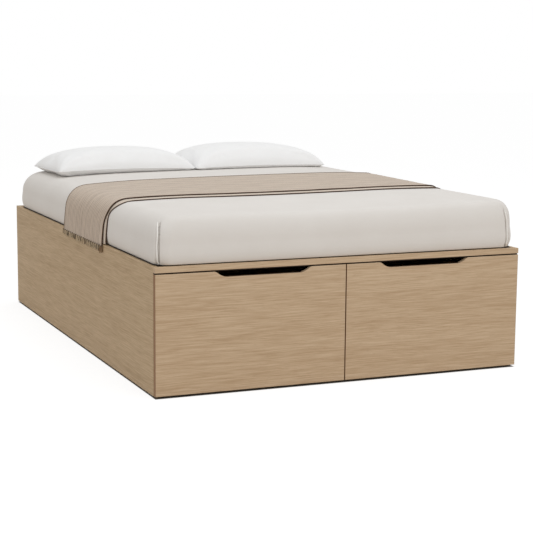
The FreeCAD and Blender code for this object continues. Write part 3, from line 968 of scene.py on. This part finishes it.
def pillow_grid(columns, rows):
    """Points and faces of a closed pillow about its seam: an upper and a lower cloth, one seam loop."""
    low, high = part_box("pillow_left")
    half_x = (high.x - low.x) / 2
    half_y = (high.y - low.y) / 2
    u, v = np.meshgrid(np.linspace(-1, 1, columns + 1), np.linspace(-1, 1, rows + 1))
    corner = (u * v) ** corner_power
    x = u * (half_x - pillow_end_pull * (1 - v**4) * np.abs(u) ** 3 - pillow_corner_x * corner)
    y = v * (half_y - pillow_side_pull * (1 - u**4) * np.abs(v) ** 3 - pillow_corner_y * corner)
    swell = ((1 - np.abs(u) ** end_fullness) * (1 - np.abs(v) ** side_fullness)) ** swell_power
    upper = np.stack([x, y, pillow_crown * swell], -1).reshape(-1, 3)
    lower = np.stack([x, y, -pillow_belly * swell**belly_power], -1).reshape(-1, 3)
    wide = columns + 1
    faces = grid_faces(rows + 1, wide)
    on_seam = (np.abs(u) == 1) | (np.abs(v) == 1)
    index = np.arange(len(upper)).reshape(u.shape)
    inside = ~on_seam
    lower_index = index.copy()
    lower_index[inside] = len(upper) + np.arange(inside.sum())
    flat = lower_index.ravel()
    faces += [tuple(int(flat[i]) for i in face[::-1]) for face in grid_faces(rows + 1, wide)]
    points = np.concatenate([upper, lower[inside.ravel()]])
    seam = np.concatenate([index[0, :-1], index[:-1, -1], index[-1, :0:-1], index[:0:-1, 0]])
    return points, faces, seam


def corner_fold(x, y, half_x, half_y):
    """Small folds that run out from the four corners, from -1 to 1."""
    fold = np.zeros_like(x)
    for number, (along_x, along_y) in enumerate(((-1, -1), (1, -1), (-1, 1), (1, 1))):
        beside_x = along_x * half_x - x
        beside_y = along_y * half_y - y
        far = np.hypot(beside_x, beside_y)
        angle = np.arctan2(np.abs(beside_y), np.abs(beside_x))
        near = np.exp(-(((far - 0.8 * fold_reach) / fold_reach) ** 2))
        fold += near * np.sin(fold_waves * angle + fold_shift * number + fold_bend * far)
    return fold


def make_pillow(node, height, turn, corner_lifts):
    """One pillow: swelled by simulation, flat where it rests on the sheet, with piping round its seam."""
    points, faces, seam = pillow_grid(pillow_columns, pillow_rows)
    piece = new_piece(node + "_cover", points, faces, pillow_cotton)
    points = cloth_swelled(piece, pillow_cloth, pillow_frames, pillow_cap)
    low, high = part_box(node)
    half_x = (high.x - low.x) / 2
    half_y = (high.y - low.y) / 2
    points -= (points.max(0) + points.min(0)) / 2 * [1, 1, 0]
    points[:, 0] *= half_x / points[:, 0].max()
    points[:, 1] *= half_y / points[:, 1].max()
    crown = height - pillow_seam_height
    points[:, 2] *= np.where(points[:, 2] > 0, crown / points[:, 2].max(), 1)
    x, y, z = points.T.copy()
    right, head = (1 + x / half_x) / 2, (1 + y / half_y) / 2
    upper = np.clip(z / crown, 0, 1)
    points[:, 2] += fold_depth * np.sqrt(upper) * corner_fold(x, y, half_x, half_y)
    foot_left, foot_right, head_left, head_right = corner_lifts
    points[:, 2] += (1 - right) ** 3 * ((1 - head) * foot_left + head * head_left)
    points[:, 2] += right**3 * ((1 - head) * foot_right + head * head_right)
    points[:, 1] += pillow_front_back * (1 - head) ** 2
    points = points @ np.array(Matrix.Rotation(-turn, 3, "Z"))
    points += [(low.x + high.x) / 2, (low.y + high.y) / 2, low.z + pillow_seam_height]
    rest = bed_surface(points[:, 0], points[:, 1]) + pillow_rest_gap
    points[:, 2] = np.maximum(points[:, 2], rest)
    piece.data.vertices.foreach_set("co", points.astype(np.float32).ravel())
    piece.data.update()
    smooth = piece.modifiers.new("smooth", "SUBSURF")
    smooth.levels = 1
    smooth.render_levels = 1
    line = points[seam]
    line[:, 2] = np.maximum(line[:, 2], rest[seam] + piping_radius)
    cord_points, cord_faces = tube(line, piping_radius, 6, closed=True)
    piping = new_piece(node + "_piping", cord_points, cord_faces, pillow_cotton)
    return piece, piping


# Throw

throw_low, throw_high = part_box("throw_blanket")
_, panel_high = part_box("side_panel_left")
throw_columns = 150
throw_rows = 90
fold_rows = 6


def throw_line(offset, hem_x, hem_z):
    """The throw's line over the bed from the left hem to the right, as evenly spaced (x, z) points."""
    on_bed = [(z, side) for z, side, _ in bedding_rows(0) if z > deck + drape_start]
    shoulder = [(half_width + offset - side, z + offset) for z, side in on_bed]
    half = [(hem_x, hem_z), (hem_x, panel_high.z + hem_upright)] + shoulder
    right = [(firmer_right(x, z - offset), z) for x, z in half]
    rough = np.array([(-x, z) for x, z in half] + right[::-1])
    steps = np.linalg.norm(np.diff(rough, axis=0), axis=1)
    run = np.concatenate([[0], np.cumsum(steps)])
    even = np.linspace(0, run[-1], throw_columns + 1)
    line = np.stack([np.interp(even, run, rough[:, 0]), np.interp(even, run, rough[:, 1])], -1)
    for _ in range(3):
        line[1:-1] = (line[:-2] + 2 * line[1:-1] + line[2:]) / 4
    return line, run[-1]


def make_throw():
    """The throw: one cloth folded double over the bed, its fold towards the head, open towards the foot."""
    layer = throw_thickness + throw_layer_gap
    lower, length = throw_line(throw_standoff, lower_hem_x, panel_high.z + lower_hem_lift)
    upper, _ = throw_line(throw_standoff + layer, upper_hem_x, panel_high.z - upper_hem_drop)
    outward = np.stack([np.gradient(upper[:, 1]), -np.gradient(upper[:, 0])], -1) * -1
    outward /= np.linalg.norm(outward, axis=1)[:, None]
    middle = length / 2
    along_length = np.linspace(-middle, middle, throw_columns + 1)
    hang = np.clip((np.abs(along_length) - half_width) / (middle - half_width), 0, 1)
    swung = smooth_step(2 * hang)
    lead = np.where(along_length < 0, lower_edge_lead, 0)
    swung_lower = smooth_step((2 * np.abs(along_length) - 2 * half_width + lead) / (middle - half_width))
    foot_lower = throw_low.y + lower_edge_draw * swung_lower + edge_sway * np.sin(5 * along_length)
    foot_upper = throw_low.y + throw_step + upper_edge_draw * swung
    foot_upper += edge_sway * np.sin(4 * along_length + 1)
    head = throw_high.y - fold_margin + fold_sway * np.sin(6 * along_length + 2)
    low_share = np.clip(1 - (upper[:, 1] - upper[0, 1]) / hem_drop_top, 0, 1)
    upper_rear = upper - np.stack([0 * low_share, rear_hem_drop * low_share], -1)
    rows, uv = [], []
    flat_width = throw_high.y - throw_low.y
    for share in np.linspace(0, 1, throw_rows):
        y = foot_lower + (head - foot_lower) * share
        rows.append(np.stack([lower[:, 0], y, lower[:, 1]], -1))
        uv.append(np.stack([along_length, np.full_like(y, share * flat_width)], -1))
    for turn in np.linspace(0, math.pi, fold_rows + 2)[1:-1]:
        share = (1 - math.cos(turn)) / 2
        line = lower + (upper_rear - lower) * share
        rows.append(np.stack([line[:, 0], head + fold_roll * math.sin(turn), line[:, 1]], -1))
        past_fold = np.full(len(line), flat_width + fold_flat * turn / math.pi)
        uv.append(np.stack([along_length, past_fold], -1))
    for share in np.linspace(0, 1, throw_rows):
        y = head + (foot_upper - head) * share
        ridge = throw_ridge * (1 + ripple(0.12 * along_length, y, 0 * y, ridge_waves, 5))
        proud = (ridge * math.sin(math.pi * min(0.5, 8 * share)))[:, None] * outward
        line = upper_rear + (upper - upper_rear) * share + proud
        rows.append(np.stack([line[:, 0], y, line[:, 1]], -1))
        uv.append(np.stack([along_length, np.full_like(y, flat_width * (1 + share) + 0.01)], -1))
    rows = [settled(row) for row in rows]
    points = np.concatenate(rows)
    faces = [face[::-1] for face in grid_faces(len(rows), throw_columns + 1)]
    cloth = new_piece("throw_cloth", points, faces, wool_face, np.concatenate(uv))
    cloth.data.materials.append(wool_reverse)
    wall = cloth.modifiers.new("thickness", "SOLIDIFY")
    wall.thickness = throw_thickness
    wall.offset = 0
    wall.material_offset = 1
    wall.material_offset_rim = 0
    lower_edge = tube(rows[0], lower_binding_share * binding_radius, 6)
    edges = joined([lower_edge, tube(rows[-1], binding_radius, 6)])
    binding = new_piece("throw_binding", edges[0], edges[1], binding_yarn)
    proud = throw_thickness / 2 * outward
    # Painted shade: a thin dark tube on the fold stands in for the shadow along it.
    behind = rows[throw_rows + fold_rows] + np.stack([proud[:, 0], 0 * head, proud[:, 1]], -1)
    ridge_points, ridge_faces = tube(behind, fold_shadow_radius, 6)
    fold_shadow_tube = new_piece("throw_fold_shadow", ridge_points, ridge_faces, fold_yarn)
    hems = []
    for end in (0, -1):
        hem = np.array([row[end] for row in rows[-throw_rows:]])
        hem[:, 2] = hem[-1, 2]
        hems.append(hem)
    return cloth, binding, fold_shadow_tube, hems, length


# A dark felt strip of painted shade in the slot over the drawers


def make_reveal_shade_strip():
    """A dark felt strip under the foot rail, clear of the drawer fronts that pass below it: painted shade
    in the slot over the drawers.
    """
    front_low, front_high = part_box("left_drawer_front")
    foot_low, foot_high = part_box("foot_rail")
    stretcher_low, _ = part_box("foot_stretcher")
    low = (foot_low.x + strip_inset, front_low.y + strip_setback, front_high.z + strip_clearance)
    high = (foot_high.x - strip_inset, stretcher_low.y, foot_low.z)
    points = [(x, y, z) for z in (low[2], high[2]) for y in (low[1], high[1]) for x in (low[0], high[0])]
    faces = [(0, 2, 3, 1), (4, 5, 7, 6), (0, 1, 5, 4), (1, 3, 7, 5), (3, 2, 6, 7), (2, 0, 4, 6)]
    strip = new_piece("reveal_shade_strip", points, faces, dark_felt)
    strip.data.polygons.foreach_set("use_smooth", [False] * len(faces))
    return strip


# Things that repeat, made by node trees


class Tree(Nodes):
    """A geometry node tree with named inputs."""

    def __init__(self, name, inputs):
        super().__init__(bpy.data.node_groups.new(name, "GeometryNodeTree"))
        sockets = self.tree.interface
        sockets.new_socket("Geometry", in_out="INPUT", socket_type="NodeSocketGeometry")
        for label, kind in inputs.items():
            sockets.new_socket(label, in_out="INPUT", socket_type="NodeSocket" + kind)
        sockets.new_socket("Geometry", in_out="OUTPUT", socket_type="NodeSocketGeometry")
        self.inputs = self.tree.nodes.new("NodeGroupInput").outputs
        self.output = self.tree.nodes.new("NodeGroupOutput")

    def varied(self, low, high):
        """A random vector between two others."""
        inputs = {0: low, 1: high, "Seed": self.inputs["Seed"]}
        return self.add("FunctionNodeRandomValue", inputs, data_type="FLOAT_VECTOR")

    def raised(self, mesh, chosen, height):
        """Chosen faces pushed out by a height: the new mesh, and which of its faces are on top."""
        inputs = {"Mesh": mesh, "Selection": chosen, "Offset Scale": height}
        outputs = self.node("GeometryNodeExtrudeMesh", inputs, mode="FACES").outputs
        return outputs["Mesh"], outputs["Top"]

    def narrowed(self, mesh, chosen, scale):
        """Chosen faces drawn in about their middles."""
        inputs = {"Geometry": mesh, "Selection": chosen, "Scale": scale}
        return self.add("GeometryNodeScaleElements", inputs)

    def close(self, instances):
        """Ends the tree: real geometry with the given material."""
        real = self.add("GeometryNodeRealizeInstances", {"Geometry": instances})
        painted = {"Geometry": real, "Material": self.inputs["Material"]}
        self.put(self.output.inputs[0], self.add("GeometryNodeSetMaterial", painted))

    def made(self, name, source, values):
        """A plain mesh piece that the tree makes from a source mesh."""
        holder = bpy.data.objects.new(name + "_source", source)
        bpy.context.scene.collection.objects.link(holder)
        modifier = holder.modifiers.new("nodes", "NODES")
        modifier.node_group = self.tree
        for item in self.tree.interface.items_tree:
            if item.in_out == "INPUT" and item.name in values:
                modifier[item.identifier] = values[item.name]
        ready = holder.evaluated_get(bpy.context.evaluated_depsgraph_get())
        mesh = bpy.data.meshes.new_from_object(ready)
        bpy.data.objects.remove(holder)
        mesh.name = name
        piece = bpy.data.objects.new(name, mesh)
        bpy.context.scene.collection.objects.link(piece)
        return piece


def line_mesh(name, lines):
    """A mesh of open lines, for a node tree to follow."""
    mesh = bpy.data.meshes.new(name)
    points, edges = [], []
    for line in lines:
        first = len(points)
        points.extend(tuple(map(float, point)) for point in line)
        edges.extend((first + i, first + i + 1) for i in range(len(line) - 1))
    mesh.from_pydata(points, edges, [])
    return mesh


def fringe_tree():
    """Tassels of loose threads at even steps along the hems."""
    tree = Tree("fringe", {
        "Spacing": "Float",
        "Length": "Float",
        "Threads": "Int",
        "Thread Radius": "Float",
        "Bundle Radius": "Float",
        "Seed": "Int",
        "Material": "Material",
    })
    socket = tree.inputs
    hem = tree.add("GeometryNodeMeshToCurve", {"Mesh": socket["Geometry"]})
    knots = tree.add(
        "GeometryNodeResampleCurve", {"Curve": hem, "Length": socket["Spacing"]}, mode="LENGTH"
    )
    down = tree.add("ShaderNodeMath", {0: socket["Length"], 1: -1.0}, operation="MULTIPLY")
    end = tree.add("ShaderNodeCombineXYZ", {"Z": down})
    straight = tree.add("GeometryNodeCurvePrimitiveLine", {"End": end})
    thread_line = tree.add("GeometryNodeResampleCurve", {"Curve": straight, "Count": 4})
    section = tree.add(
        "GeometryNodeCurvePrimitiveCircle", {"Resolution": 4, "Radius": socket["Thread Radius"]}
    )
    thread = tree.add(
        "GeometryNodeCurveToMesh", {"Curve": thread_line, "Profile Curve": section, "Fill Caps": True}
    )
    bundle = tree.add(
        "GeometryNodeMeshCircle", {"Vertices": socket["Threads"], "Radius": socket["Bundle Radius"]}
    )
    splay = tree.varied((-0.12, -0.16, -0.6), (0.12, 0.16, 0.6))
    tassel = tree.add(
        "GeometryNodeInstanceOnPoints", {"Points": bundle, "Instance": thread, "Rotation": splay}
    )
    turn = tree.varied((-0.1, -0.02, -3.1), (0.1, 0.02, 3.1))
    size = tree.varied((0.8, 0.8, 0.8), (1.15, 1.15, 1.15))
    row = tree.add(
        "GeometryNodeInstanceOnPoints",
        {"Points": knots, "Instance": tassel, "Rotation": turn, "Scale": size},
    )
    tree.close(row)
    return tree


def screw_tree():
    """Domed screw heads with a round socket, each standing along its point's own direction."""
    tree = Tree("screws", {"Head Radius": "Float", "Head Height": "Float", "Material": "Material"})
    socket = tree.inputs
    shank = tree.add(
        "GeometryNodeMeshCylinder",
        {"Vertices": screw_sides, "Radius": socket["Head Radius"], "Depth": socket["Head Height"]},
        fill_type="NGON",
    )
    normal = tree.add("GeometryNodeInputNormal", {})
    up = tree.add("ShaderNodeSeparateXYZ", {0: normal}, 2)
    top = tree.add("FunctionNodeCompare", {0: up, 1: 0.9}, operation="GREATER_THAN")
    height = socket["Head Height"]
    rise = tree.add("ShaderNodeMath", {0: height, 1: dome_rise}, operation="MULTIPLY")
    dome, dome_top = tree.raised(shank, top, rise)
    rim, rim_top = tree.raised(tree.narrowed(dome, dome_top, dome_narrowing), dome_top, 0)
    sink = tree.add("ShaderNodeMath", {0: height, 1: -socket_depth}, operation="MULTIPLY")
    head, _ = tree.raised(tree.narrowed(rim, rim_top, socket_narrowing), rim_top, sink)
    direction = tree.add(
        "GeometryNodeInputNamedAttribute", {"Name": "direction"}, data_type="FLOAT_VECTOR"
    )
    stand = tree.add("FunctionNodeAlignRotationToVector", {"Vector": direction}, axis="Z")
    heads = tree.add(
        "GeometryNodeInstanceOnPoints",
        {"Points": socket["Geometry"], "Instance": head, "Rotation": stand},
    )
    tree.close(heads)
    return tree


def point_mesh(name, places):
    """A mesh of loose points, each with the direction that its screw head faces."""
    mesh = bpy.data.meshes.new(name)
    mesh.from_pydata([tuple(place) for place, _ in places], [], [])
    attribute = mesh.attributes.new("direction", "FLOAT_VECTOR", "POINT")
    attribute.data.foreach_set("vector", np.array([facing for _, facing in places], np.float32).ravel())
    return mesh


def frame_screw_places():
    """Screws in the slat ends and in both legs of the corner brackets."""
    places = []
    stand = screw_head_height / 2
    for number in range(1, slat_count + 1):
        low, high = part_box(f"slat_{number:02d}")
        for x in (low.x + slat_screw_inset, high.x - slat_screw_inset):
            places.append(((x, (low.y + high.y) / 2, high.z + stand * slat_head_share), (0, 0, 1)))
    low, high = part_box("corner_brackets")
    heights = (low.z + bracket_screw_inset, high.z - bracket_screw_inset)
    for x, into_x in ((low.x, 1), (high.x, -1)):
        for y, into_y in ((low.y, 1), (high.y, -1)):
            for z in heights:
                near = bracket_sheet + stand
                far = bracket_screw_reach
                places.append(((x + into_x * near, y + into_y * far, z), (into_x, 0, 0)))
                places.append(((x + into_x * far, y + into_y * near, z), (0, into_y, 0)))
    return places


def drawer_screw_places(side):
    """Screws through the box front into the show front, from inside the drawer."""
    low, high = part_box(f"{side}_drawer_box_front")
    stand = screw_head_height / 2
    xs = np.linspace(low.x + front_screw_inset, high.x - front_screw_inset, front_screw_columns)
    heights = (low.z + front_screw_low, high.z - front_screw_high)
    return [((x, high.y + stand, z), (0, 1, 0)) for x in xs for z in heights]


# Build the pieces

fringe = fringe_tree()
screws = screw_tree()


def hem_threads(name, lines, spacing, length, threads, bundle, seed, finish):
    """Bundles of loose threads along lines, as one piece."""
    sizes = {
        "Spacing": spacing,
        "Length": length,
        "Threads": threads,
        "Thread Radius": thread_radius,
        "Bundle Radius": bundle,
        "Seed": seed,
        "Material": finish,
    }
    return fringe.made(name, line_mesh(name + "_lines", lines), sizes)


def screw_heads(name, places):
    """Screw heads at places, as one piece."""
    sizes = {"Head Radius": screw_head_radius, "Head Height": screw_head_height, "Material": steel}
    return screws.made(name, point_mesh(name + "_points", places), sizes)


sheet_cloth, sheet_seams = make_fitted_sheet()
mattress_body, mattress_tape = make_mattress()
pillows = {node: make_pillow(node, **shape) for node, shape in pillow_shapes.items()}
throw_cloth, throw_binding, throw_fold_shadow, throw_hems, throw_length = make_throw()
reveal_shade_strip = make_reveal_shade_strip()
deck_shade_cord = make_deck_shade_cord()
strand_lines = [hem + [math.copysign(throw_thickness, hem[0][0]), 0, strand_rise] for hem in throw_hems]
tuft_lines = [line[[-1, -3]] - [0, tuft_setback, strand_rise] for line in strand_lines]
throw_fringe = hem_threads(
    "throw_fringe", throw_hems, fringe_spacing, fringe_length, fringe_threads, fringe_bundle,
    fringe_seed, fringe_yarn,
)
# Painted shade: the dark strands stand in for the shade in the gaps between the light tassels.
throw_shade_strands = hem_threads(
    "throw_shade_strands", strand_lines, strand_spacing, strand_length, strand_threads, strand_bundle,
    strand_seed, strand_yarn,
)
throw_tufts = hem_threads(
    "throw_tufts", tuft_lines, strand_spacing, tuft_length, tuft_threads, tuft_bundle,
    tuft_seed, tuft_yarn,
)
frame_screws = screw_heads("frame_screws", frame_screw_places())
drawer_screws = {side: screw_heads(f"{side}_drawer_screws", drawer_screw_places(side)) for side in sides}

# What each piece rides on, replaces and is made of

frame_slots = {
    sheet_cloth: "white_cotton",
    sheet_seams: "white_cotton",
    mattress_body: "mattress_ticking",
    mattress_tape: "mattress_ticking",
    throw_cloth: "taupe_wool",
    throw_binding: "taupe_wool",
    throw_fold_shadow: "taupe_wool",
    throw_fringe: "taupe_wool",
    throw_shade_strands: "taupe_wool",
    throw_tufts: "taupe_wool",
    reveal_shade_strip: "felt",
    deck_shade_cord: "felt",
    frame_screws: "zinc_steel",
}
for piece, slot_name in frame_slots.items():
    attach(piece, "bed_frame")
for node, (cover, piping) in pillows.items():
    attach(cover, "bed_frame")
    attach(piping, "bed_frame")
    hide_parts(node)
for side, piece in drawer_screws.items():
    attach(piece, f"{side}_drawer")
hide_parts("fitted_sheet")
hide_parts("mattress")
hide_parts("throw_blanket")


# Studio


def seen_directly(nodes):
    """1 for what the camera sees, also mirrored or through glass, and 0 for light that lands on things."""
    path = nodes.node("ShaderNodeLightPath", {}).outputs
    inputs = {0: path["Is Camera Ray"], 1: path["Is Glossy Ray"]}
    either = nodes.add("ShaderNodeMath", inputs, operation="ADD")
    inputs = {0: either, 1: path["Is Transmission Ray"]}
    return nodes.add("ShaderNodeMath", inputs, operation="ADD", use_clamp=True)


def floor_finish():
    """Nearly white where the camera sees it, with a painted contact shadow where something stands close
    over it.
    """
    material = bpy.data.materials.new("studio_floor")
    material.use_nodes = True
    material.node_tree.nodes.clear()
    nodes = Nodes(material.node_tree)
    matte = nodes.add("ShaderNodeBsdfDiffuse", {"Color": floor_matte})
    faint = nodes.add("ShaderNodeBsdfDiffuse", {"Color": floor_faint})
    glow = nodes.add("ShaderNodeEmission", {"Strength": floor_glow})
    bright = nodes.add("ShaderNodeAddShader", {0: faint, 1: glow})
    # Painted shadow: a near-black floor colour is mixed in where little is open above.
    dark = nodes.add("ShaderNodeBsdfDiffuse", {"Color": floor_contact_shadow})
    open_above = nodes.add("ShaderNodeAmbientOcclusion", {"Distance": contact_reach}, "AO")
    limits = {"Value": open_above, "From Min": contact_full, "From Max": contact_none}
    clear = nodes.add("ShaderNodeMapRange", limits)
    seen = nodes.add("ShaderNodeMixShader", {0: clear, 1: dark, 2: bright})
    surface = nodes.add("ShaderNodeMixShader", {0: seen_directly(nodes), 1: matte, 2: seen})
    nodes.node("ShaderNodeOutputMaterial", {"Surface": surface})
    return material


def make_floor():
    """A plain pale floor that keeps a soft shadow, with a darker, plainly shaded part inside the bed as
    painted shade.
    """
    foot_low, foot_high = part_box("foot_rail")
    _, head_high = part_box("head_panel")
    corners = ((-1, -1), (1, -1), (1, 1), (-1, 1))
    points = [(x * floor_half, y * floor_half, 0) for x, y in corners]
    points += [(x * foot_high.x, foot_low.y if y < 0 else head_high.y, 0) for x, y in corners]
    faces = [(side, (side + 1) % 4, (side + 1) % 4 + 4, side + 4) for side in range(4)] + [(4, 5, 6, 7)]
    # Painted shade: the floor inside the bed is given a dark brown colour.
    shaded = Finish("studio_floor_shaded", inside_roughness)
    shaded.colour(floor_inside_painted_shade)
    floor = new_piece("studio_floor", points, faces, floor_finish())
    floor.data.materials.append(shaded.material)
    floor.data.polygons[len(faces) - 1].material_index = 1


def make_world():
    """Even white surroundings: plain light on the bed, and white where the camera sees past the floor."""
    world = bpy.data.worlds.new("studio")
    bpy.context.scene.world = world
    world.use_nodes = True
    world.node_tree.nodes.clear()
    nodes = Nodes(world.node_tree)
    light = nodes.add("ShaderNodeBackground", {"Color": white, "Strength": world_strength})
    backdrop = nodes.add("ShaderNodeBackground", {"Color": white, "Strength": 1})
    surface = nodes.add("ShaderNodeMixShader", {0: seen_directly(nodes), 1: light, 2: backdrop})
    nodes.node("ShaderNodeOutputWorld", {"Surface": surface})


def make_lamp(name, place, size, power, aim):
    """A large soft square lamp that points at the bed."""
    lamp = bpy.data.lights.new(name, "AREA")
    lamp.shape = "SQUARE"
    lamp.size = size
    lamp.energy = power
    holder = bpy.data.objects.new(name, lamp)
    holder.location = place
    holder.rotation_euler = (aim - place).to_track_quat("-Z", "Y").to_euler()
    bpy.context.scene.collection.objects.link(holder)


def make_camera():
    """The camera of the photograph: a long lens, a little left of the foot."""
    lens = bpy.data.cameras.new("camera")
    lens.lens = camera_lens
    lens.sensor_width = sensor_width
    camera = bpy.data.objects.new("camera", lens)
    turned = Matrix.Rotation(camera_turn, 4, "Z") @ Matrix.Rotation(math.pi / 2 + camera_tilt, 4, "X")
    camera.matrix_world = Matrix.Translation(camera_place) @ turned @ Matrix.Rotation(camera_roll, 4, "Z")
    bpy.context.scene.collection.objects.link(camera)
    bpy.context.scene.camera = camera


make_floor()
make_world()
make_lamp("key_lamp", key_place, key_size, key_power, key_aim)
make_lamp("top_lamp", top_place, top_size, top_power, top_aim)
make_camera()
bpy.context.scene.view_settings.view_transform = "Standard"
